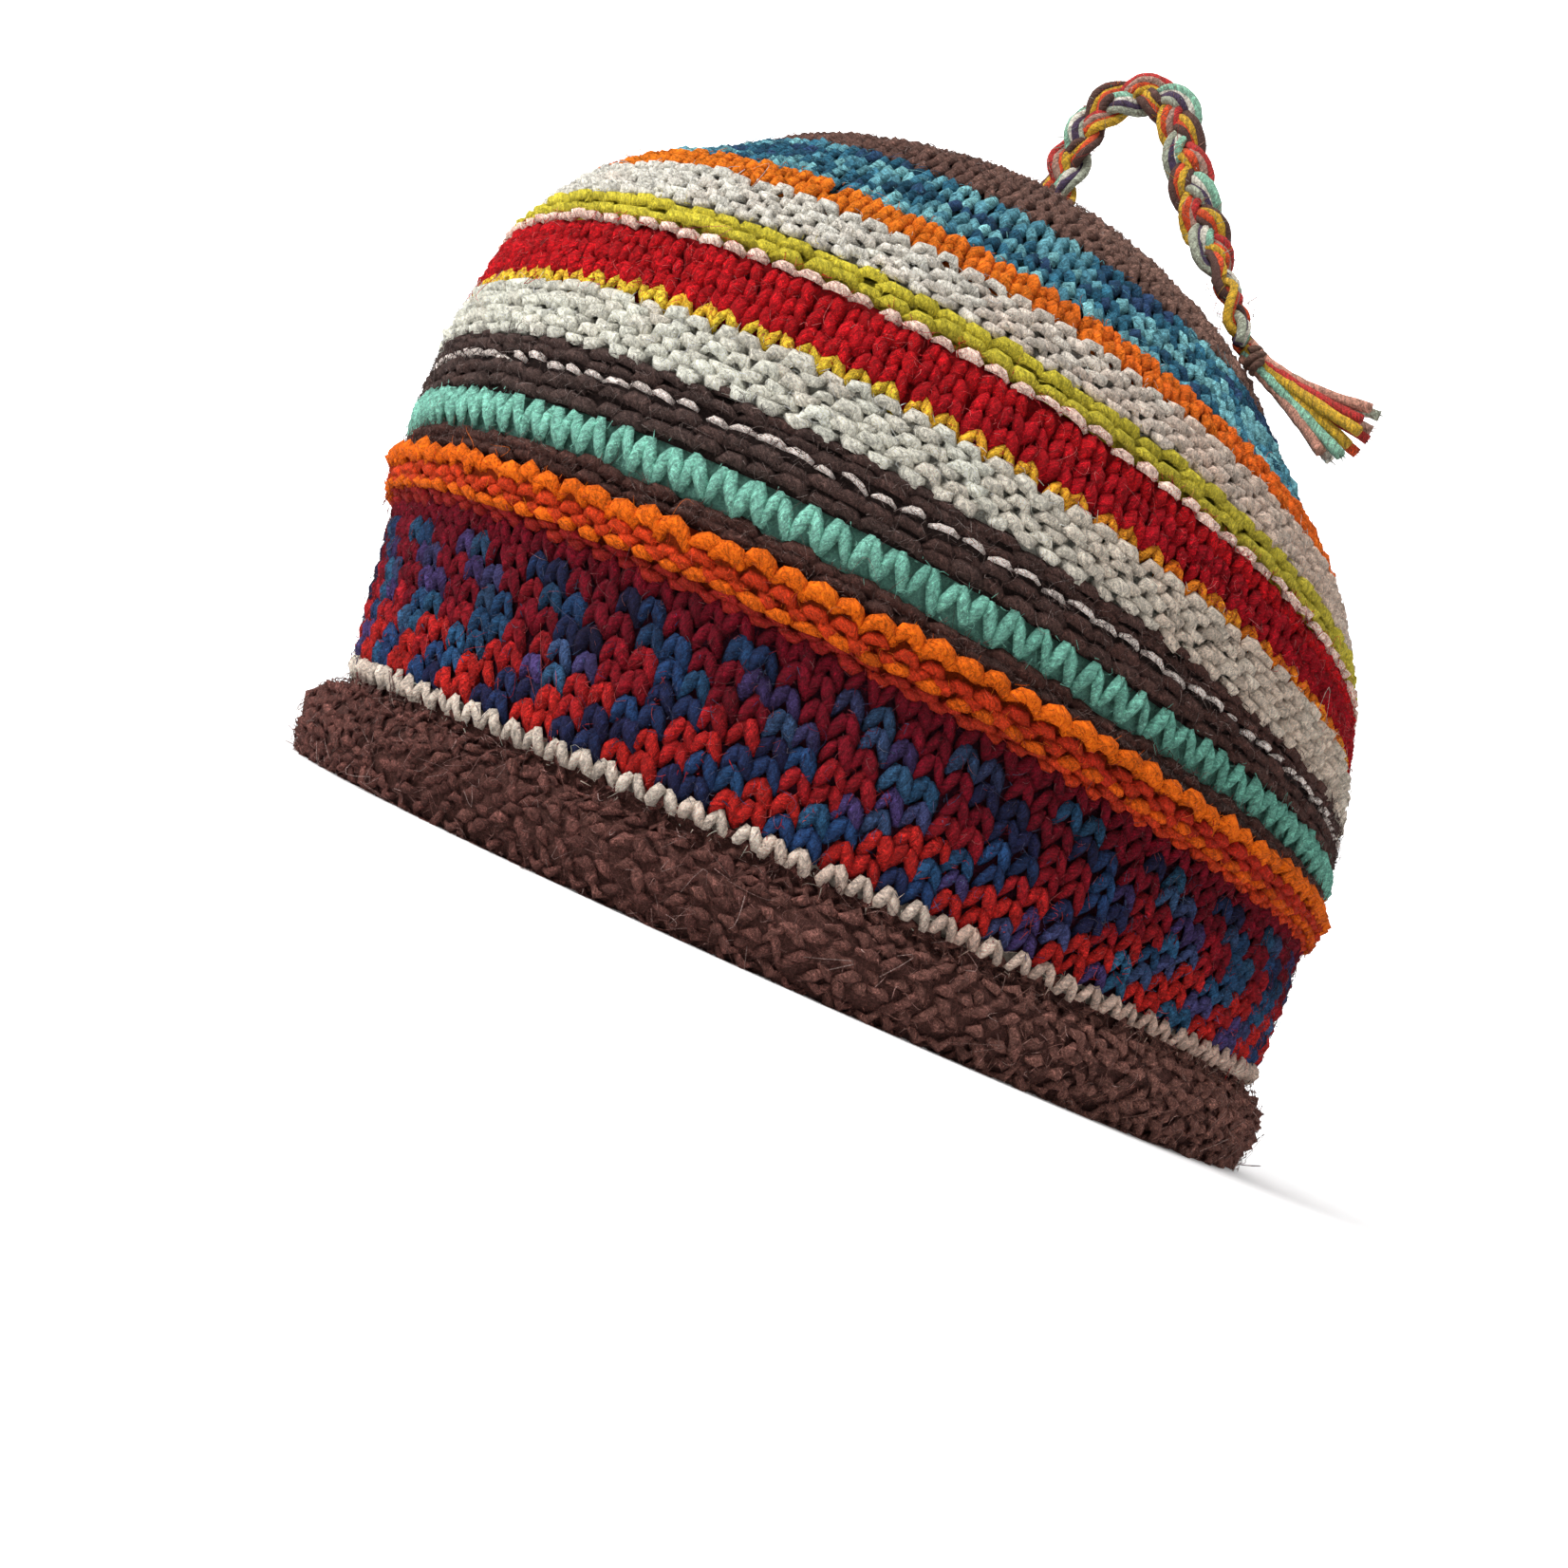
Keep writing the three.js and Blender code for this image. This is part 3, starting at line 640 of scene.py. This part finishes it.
for band, (start, end) in ROUNDS.items():
    heap = Heap()
    fibres, painted_gap_shade, curls, haze = FINISH[band]
    s0, s1 = at_up(start), at_up(end)
    palette = []
    s = s0
    for share, stitch, lift, yarn, first, second in COURSES[band]:
        tall = share * (s1 - s0)
        centre = s + tall / 2
        count = stitches_at(band, centre)
        colours = course_colours(first, second, count)
        palette.append(colours[np.arange(STITCHES) * len(colours) // STITCHES])
        stitch(heap, cap_place, centre, count, tall, colours, yarn, lift)
        s += tall
    palette = np.stack(palette)
    middle = palette.mean((0, 1)) if band in MANY_COLOURED else np.median(palette, (0, 1))
    span = (s0, s1)
    wall_end = s1 - (APEX_HOLE if band == "crown_top" else 0)
    # The wall is the band's colour times its share, darker: painted shade behind the stitches.
    shell(heap, cap_place, (s0, wall_end), middle * painted_gap_shade, -0.8, -WALL)
    base = 1.3 + np.mean([course[2] for course in COURSES[band]])
    tints = np.clip(palette * 1.1, 0, 1)
    if band in ("upper_brown_band", "red_band"):  # no fibres from the pale dashes over the dark rows
        tints = np.minimum(tints, 1.2 * middle)
    hairs(heap, cap_place, span, fibres, tints, base, haze / 2, **SHORT)
    hairs(heap, cap_place, span, fibres // 3, tints, base, haze, **MIDDLING)
    hairs(heap, cap_place, span, fibres // 12 if fibres > 600 else 0, tints * 1.15, base, haze, **LONG)
    about = "wool yarn, " + band.replace("_", " ")
    sheen = 0.12 if band in MANY_COLOURED else 0.5
    finish = wool(about, middle, sheen, 0.3 + 0.25 * min(curls, 1), curls)
    place_piece(heap, "knit_" + band, finish, band)
print("rounds:", triangles)

# %% [markdown]
# ## The rolled brim
# The edge curls outward, so its purl side shows: rows of bumps that hide each other, under a fleece of
# loose curls. The bumps are shorter and more tilted than those of the bands, so that no row reads as a line.

# %% Rolled brim
BRIM_ROWS, BRIM_BUMPS = 13, 150
BRIM_CURLS = {"longest": 4.6, "rise": 1.1, "thick": 0.08, "curl": 1.2, "rings": 5}
BRIM_STUBBLE = {"longest": 2.6, "rise": 0.6, "thick": 0.11, "curl": 0.1, "rings": 2}
BRIM_LONG = {"longest": 6.0, "rise": 1.9, "thick": 0.07, "curl": 1.1, "rings": 7}
heap = Heap()
brown = drifting("brim", "brim_light", STITCHES)
total = ROLL_LENGTH[-1]
# The brim's wall is 0.6 as dark as its wool: painted shade in the gaps between the bumps.
shell(heap, roll_place, (-total + 0.5, -0.5), brown.mean(0) * 0.6, -0.4, -2.6, along=22)
for row in range(BRIM_ROWS):
    s, offset = -total * (row + 0.5) / BRIM_ROWS, rng.uniform(0, 1)
    # Each row is two rows of bumps; the second sits lower, at lift 0.1, and is painted 0.8 as dark: painted
    # shade.
    for shade, lift in ((1.0, 0.3), (0.8, 0.1)):
        colours = drifting("brim", "brim_light", BRIM_BUMPS) * shade
        bow = rng.uniform(-1, 1)
        bumps(heap, roll_place, s, BRIM_BUMPS, colours, 2.1, lift, offset, bow, 0.42, 0.12, 1.3, 3)
        s, offset = s - total / BRIM_ROWS / 2, offset + 0.5
fleece = np.clip(brown[None] * 1.2, 0, 1)
hairs(heap, roll_place, (-total * 0.85, -1.0), 5200, fleece, 1.5, 0.1, **BRIM_STUBBLE)
hairs(heap, roll_place, (-total * 0.85, -1.0), 1500, fleece, 1.5, 0.3, **BRIM_CURLS)
hairs(heap, roll_place, (-total * 0.75, -1.0), 560, fleece, 1.5, 0.22, **BRIM_LONG)
finish = wool("brown wool, curled edge", brown.mean(0), curls=1.5)
place_piece(heap, "knit_rolled_brim", finish, "rolled_brim")
print("brim:", triangles["knit_rolled_brim"])

# %% [markdown]
# ## The plaited loop and the tassel
# Three strands of mixed yarns cross in turn along the loop's route, which starts at the apex, rises and is
# caught down on the crown. The route is the solid model's: a smooth curve through a few points, each a
# share of the way to the end, a share of the loop's rise and a share of the end's height.

# %% Route of the plait
PLAIT_THICKNESS, LOOP_RISE, LOOP_TOWARDS, CAUGHT_AT, SLACK = 6.6, 31.5, 19, 0.872, 0.9
ROUTE = np.array([
    (0, 0.02, 0), (-0.01, 0.36, 0), (0.005, 0.75, 0), (0.13, 0.99, 0), (0.3, 0.96, 0), (0.49, 0.5, 0),
    (0.7, 0.02, 0), (0.86, 0, 0.48), (1, 0, 1),
])
apex = cap_place(np.array([0.0, np.pi]), np.full(2, LENGTH[-1])).mean(0)
point, _, normal = facing(cap_place, np.radians([LOOP_TOWARDS]), at_up([CAUGHT_AT]))
caught = (point + normal * (PLAIT_THICKNESS / 2 + SLACK))[0]
level = (caught - apex) * [1, 1, 0]
across = unit(np.array([-level[1], level[0], 0.0]))
knots = apex + ROUTE[:, :1] * level
knots[:, 2] += ROUTE[:, 1] * LOOP_RISE + ROUTE[:, 2] * (caught[2] - apex[2])


def centripetal(rows, per=60):
    """A centripetal Catmull-Rom through the rows, with reflected ends, at per points a stretch."""
    padded = np.concatenate([[2 * rows[0] - rows[1]], rows, [2 * rows[-1] - rows[-2]]])
    gap = np.sqrt(np.linalg.norm(np.diff(padded, axis=0), axis=1))
    t = np.linspace(0, 1, per, endpoint=False)[:, None]
    out = []
    for i in range(1, len(padded) - 2):
        a, b, c, d = padded[i - 1 : i + 3]
        g0, g1, g2 = gap[i - 1 : i + 2]
        u = ((b - a) / g0 - (c - a) / (g0 + g1) + (c - b) / g1) * g1
        v = ((c - b) / g1 - (d - b) / (g1 + g2) + (d - c) / g2) * g1
        out.append(b + u * t + (3 * c - 3 * b - 2 * u - v) * t**2 + (2 * b - 2 * c + u + v) * t**3)
    return np.concatenate(out + [rows[-1:]])


def evenly(path, count):
    """The path at count points of even spacing, and its length."""
    s = np.concatenate([[0], np.cumsum(np.linalg.norm(np.diff(path, axis=0), axis=1))])
    want = np.linspace(0, s[-1], count)
    return np.stack([np.interp(want, s, path[:, c]) for c in range(3)], -1), s[-1]


line, loop_length = evenly(centripetal(knots), 170)
print("plait:", round(loop_length, 1), "mm long")

# %% [markdown]
# ## The plait
# In a plait of three, each strand swings from side to side once a period while it passes twice as often
# over and under. The strands are a third of a period apart. Each is four yarns laid side by side, which
# keeps the V shapes crisp. The plait stands on edge where it rises and turns flat where it lies on the cap.

# %% Plait
YARNS = {
    "brown": "#4a3030", "fire": "#e24a1c", "gold": "#dcae2a", "mint": "#8cc8ae", "white": "#e4e0d2",
    "night": "#3a3358", "crimson": "#bc2028", "salmon": "#c98f7c", "taupe": "#b08a7c",
    "sage": "#aab3a0", "slate": "#4a4a4a",
}
MIXED = np.mean([rgb(code) for code in YARNS.values()], 0)
STRANDS = [
    ("brown", "gold", "fire", "brown"), ("mint", "white", "night", "sage"),
    ("crimson", "taupe", "fire", "gold"),
]
TURNS_FROM, FLAT_FROM = 0.66, 0.88  # shares of the route
PERIOD, SWING, PASS, YARN_RADIUS, YARN_APART = 24.0, 2.6, 1.3, 0.98, 1.02
TAPER = np.array([1, 1, 1, 0.9, 0.7, 0.4])  # of a loose fibre, from its foot to its tip


def one_yarn(heap, path, up, radius, colour, sides, lumps=0.05):
    """A single tube along a path, in one colour."""
    up = np.broadcast_to(up, path.shape)
    tubes(heap, path[None], up[None], radius[None], colour * np.ones((1, 1, 3)), sides, lumps=lumps)


heap = Heap()
way = unit(np.gradient(line, axis=0))
over = unit(np.cross(way, across))
share = np.linspace(0, 1, len(line))
ease = np.clip((share - TURNS_FROM) / (FLAT_FROM - TURNS_FROM), 0, 1)
on_edge = (np.pi / 2 * (1 - ease**2 * (3 - 2 * ease)))[:, None]
wide = np.cos(on_edge) * across + np.sin(on_edge) * np.cross(way, across)
thin = np.cross(way, wide)
for k, strand in enumerate(STRANDS):
    phase = 2 * np.pi * (share * loop_length / PERIOD + k / 3)
    swing, lap = np.sin(phase) * SWING, np.sin(2 * phase) * PASS
    centre = line + wide * swing[:, None] + thin * lap[:, None]
    flat_side = unit(np.cross(np.gradient(centre, axis=0), thin))
    for m, yarn in enumerate(strand):
        beside = (m - 1.5) * YARN_APART + 0.2 * np.sin(share * 40 + m)
        path = centre + flat_side * beside[:, None] + thin * (0.35 * np.cos(share * 50 + 2 * m))[:, None]
        radius = YARN_RADIUS * (1 + 0.07 * np.sin(share * 60 + m * 2 + k))
        one_yarn(heap, path, over, radius, rgb(YARNS[yarn]), sides=8)

# %% Loose fibres on the plait
PLAIT_FIBRES = 520
spot = rng.integers(2, len(line) - 2, PLAIT_FIBRES)
turn = rng.uniform(0, 2 * np.pi, PLAIT_FIBRES)
outward = np.cos(turn)[:, None] * wide[spot] + np.sin(turn)[:, None] * thin[spot]
t = np.linspace(0, 1, len(TAPER))
reach = rng.uniform(1.5, 5.0, PLAIT_FIBRES)
drift = unit(rng.normal(0, 1, (PLAIT_FIBRES, 3)))
path = (line[spot] + outward * 3.2)[:, None] + outward[:, None] * (reach[:, None] * t * 0.5)[..., None]
path = path + drift[:, None] * (reach[:, None] * t**1.5 * 0.9)[..., None]
tint = np.array([rgb(code) for code in YARNS.values()])[rng.integers(0, len(YARNS), PLAIT_FIBRES)]
tubes(heap, path, drift[:, None] + 0 * path, 0.06 * TAPER[None], tint[:, None], sides=3)
place_piece(heap, "plait", wool("mixed wool yarns, plaited", MIXED, contrast=0.5, curls=0.3), "braid_loop")
print("plait:", triangles["plait"])

# %% [markdown]
# ## The tassel
# The plait's yarns are bound with two turns of brown wool and hang free past it. Each yarn is a curve
# that leaves the plait's end, passes the binding and fans out with its own side turn and droop, and its
# cut end frays into a few fibres. A cloth or hair simulation would give the same for far more work.

# %% Tassel
TASSEL_LENGTH, HEAD_LENGTH, TASSEL_TOWARDS, TASSEL_DROP, SPREAD = 32, 9, 32, 8, 26
DROOP = SPREAD * 0.62
LOOSE = [  # side turn and droop as shares, length as a share, yarn
    (0.3, -0.9, 1.0, "sage"), (-0.2, -0.75, 0.93, "salmon"), (0.35, -0.4, 0.98, "taupe"),
    (-0.3, -0.25, 0.9, "crimson"), (0.2, 0.0, 1.0, "crimson"), (-0.4, 0.2, 0.96, "gold"),
    (0.4, 0.45, 0.98, "fire"), (-0.15, 0.65, 0.92, "gold"), (0.3, 0.95, 0.9, "mint"),
    (-0.3, 1.15, 0.96, "mint"), (0.25, 1.4, 0.88, "white"), (-0.2, 1.6, 0.82, "salmon"),
]
FRAYED = 8
heap = Heap()
flow = heading(TASSEL_TOWARDS)
flow[2] = -np.tan(np.radians(TASSEL_DROP))
flow = unit(flow)
head_way = way[-1]
sideways = unit(np.array([-flow[1], flow[0], 0.0]))
upward = np.cross(flow, sideways)
axis = unit(head_way + flow)
start = line[-1] + head_way * 0.4
root = start + axis * HEAD_LENGTH
t = np.linspace(0, 1, 26)
u = t[:, None]
for turn, droop, reach, yarn in LOOSE:
    free = (TASSEL_LENGTH - HEAD_LENGTH) * reach
    aside = sideways * np.tan(np.radians(SPREAD * turn))
    aim = unit(flow + aside - upward * np.tan(np.radians(DROOP * droop)))
    inside = start + sideways * turn * 2.0 - upward * (droop - 0.4) * 1.5
    curve = (1 - u) ** 2 * inside + 2 * u * (1 - u) * root + u**2 * (root + aim * free)
    wave = np.sin(t * rng.uniform(5, 9) + rng.uniform(0, 6)) * 0.5 * t
    curve = curve + sideways * wave[:, None]
    curve[:, 2] -= 0.08 * free * t**2
    radius = 1.15 * (1 + 0.08 * np.sin(t * 23 + turn * 7)) * np.interp(t, [0, 0.9, 1], [1, 1.04, 0.95])
    colour = rgb(YARNS[yarn])
    one_yarn(heap, curve, upward, radius, colour, sides=7)
    spread = unit(aim + rng.normal(0, 0.22, (FRAYED, 3)))
    strays = rng.uniform(1.5, 3.4, (FRAYED, 1)) * np.linspace(0, 1, len(TAPER))
    stray = curve[-2] + spread[:, None] * strays[..., None]
    up, tint = np.broadcast_to(upward, stray.shape), np.broadcast_to(colour, (FRAYED, 1, 3))
    tubes(heap, stray, up, 0.1 * TAPER[None], tint, sides=3)

# %% Binding of the tassel
wrap = np.linspace(0, 1, 60)
mid = start + axis * 3.4
bside = unit(np.cross(axis, [0, 0, 1.0]))
bover = np.cross(bside, axis)
coil = mid + axis * ((wrap - 0.5) * 3.6)[:, None]
coil = coil + 2.2 * (np.cos(wrap * 13)[:, None] * bside + 0.86 * np.sin(wrap * 13)[:, None] * bover)
one_yarn(heap, coil, axis, np.full(60, 0.9), rgb(COLOURS["crown"]), sides=7, lumps=0.07)
place_piece(heap, "loose_ends", wool("mixed wool yarns, cut ends", MIXED, contrast=0.5, curls=0.3), "tassel")
print("triangles in all:", sum(triangles.values()))

# %% [markdown]
# ## Stage, light and camera
# A pale floor runs up into a pale backdrop in one sweep. A flat white floor would show a grey horizon, so
# the card glows a little, and more behind the hat than under it, where the contact shadow has to show.

# %% Stage
AZIMUTH = 50
toward = Vector((np.sin(np.radians(AZIMUTH)), -np.cos(np.radians(AZIMUTH)), 0))
GLOW_UNDER, GLOW_BEHIND = 0.1, 0.95


def card(name):
    """Matt white card: diffuse white that glows, from GLOW_UNDER 0.25 m behind the hat's middle to
    GLOW_BEHIND at 0.8 m."""
    material = bpy.data.materials.new(name)
    material.use_nodes = True
    tree = material.node_tree
    shader = tree.nodes["Principled BSDF"]
    shader.inputs["Base Color"].default_value = (0.8, 0.8, 0.8, 1)
    shader.inputs["Roughness"].default_value = 0.95
    shader.inputs["Emission Color"].default_value = (1, 1, 1, 1)
    place = node(tree, "TexCoord").outputs["Object"]
    back = node(tree, "VectorMath", {0: place, 1: tuple(-toward)}, operation="DOT_PRODUCT")
    lit = node(tree, "MapRange", {
        "Value": back.outputs["Value"], "From Min": 0.25, "From Max": 0.8,
        "To Min": GLOW_UNDER, "To Max": GLOW_BEHIND,
    })
    tree.links.new(lit.outputs["Result"], shader.inputs["Emission Strength"])
    return material


def sweep(reach, bend, tall, wide, parts=24):
    """A floor that turns up behind the cap: flat to the bend, a quarter circle, then a wall."""
    turn = np.linspace(0, np.pi / 2, parts)
    back = np.concatenate([[reach], [0.0], -bend * np.sin(turn) - 0.6, [-bend - 0.6]])
    rise = np.concatenate([[0.0, 0.0], bend * (1 - np.cos(turn)), [tall]])
    side = np.array([-toward.y, toward.x])
    middle = np.array(toward.xy)[None] * back[:, None]
    co = np.concatenate([np.column_stack([middle + side * k, rise]) for k in (-wide, wide)])
    n = len(back)
    i = np.arange(n - 1)
    faces = np.stack([i, i + n, i + n + 1, i + 1], -1)
    made = bpy.data.meshes.new("sweep")
    made.from_pydata(co.tolist(), [], faces.tolist())
    made.polygons.foreach_set("use_smooth", np.ones(n - 1, bool))
    made.materials.append(card("matt white card"))
    stage = bpy.data.objects.new("sweep", made)
    bpy.context.scene.collection.objects.link(stage)


sweep(3, 0.8, 4, 4)
world = bpy.data.worlds.new("soft white room")
world.use_nodes = True
world.node_tree.nodes["Background"].inputs["Color"].default_value = (1, 1, 1, 1)
world.node_tree.nodes["Background"].inputs["Strength"].default_value = 0.5
bpy.context.scene.world = world
print("card glow:", GLOW_UNDER, "under the hat and", GLOW_BEHIND, "behind it")

# %% [markdown]
# ## Light
# A large softbox in front and above gives the soft shading of a studio, and a weaker one overhead lifts
# the crown. Both are wide, so no stitch throws a hard shadow.

# %% Light
def softbox(name, place, aim, size, power):
    """A square area light at place, turned towards aim."""
    lamp = bpy.data.lights.new(name, "AREA")
    lamp.size, lamp.energy = size, power
    made = bpy.data.objects.new(name, lamp)
    turned = (Vector(aim) - Vector(place)).to_track_quat("-Z", "Y").to_matrix().to_4x4()
    made.matrix_world = Matrix.Translation(place) @ turned
    bpy.context.scene.collection.objects.link(made)


softbox("key", (-0.1, -0.9, 0.95), (0, 0, 0.08), 0.6, 20)
softbox("top", (0.0, 0.1, 1.6), (0, 0, 0.1), 0.9, 7)

# %% [markdown]
# ## Camera
# The camera stands low and near in front of the wearer's left, as in the photograph, but above the floor.
# It is rolled so that the cap leans to the right.

# %% Camera
ROLL_ANGLE, DISTANCE, HEIGHT, LENS = 24.4, 0.42, 0.014, 44.8
AIM_RIGHT, AIM_UP = -0.0108, 0.0352
camera_data = bpy.data.cameras.new("camera")
camera = bpy.data.objects.new("camera", camera_data)
bpy.context.scene.collection.objects.link(camera)
right = Vector((-toward.y, toward.x, 0))
aim = right * AIM_RIGHT + Vector((0, 0, AIM_UP))
camera_place = toward * DISTANCE + Vector((0, 0, HEIGHT))
look = (aim - camera_place).to_track_quat("-Z", "Y").to_matrix().to_4x4()
roll = Matrix.Rotation(np.radians(ROLL_ANGLE), 4, "Z")
camera.matrix_world = Matrix.Translation(camera_place) @ look @ roll
camera_data.sensor_width = 36
camera_data.lens = LENS
camera_data.clip_start = 0.01
bpy.context.scene.camera = camera
bpy.context.scene.view_settings.view_transform = "Standard"
print("camera:", [round(v, 3) for v in camera_place], "m")
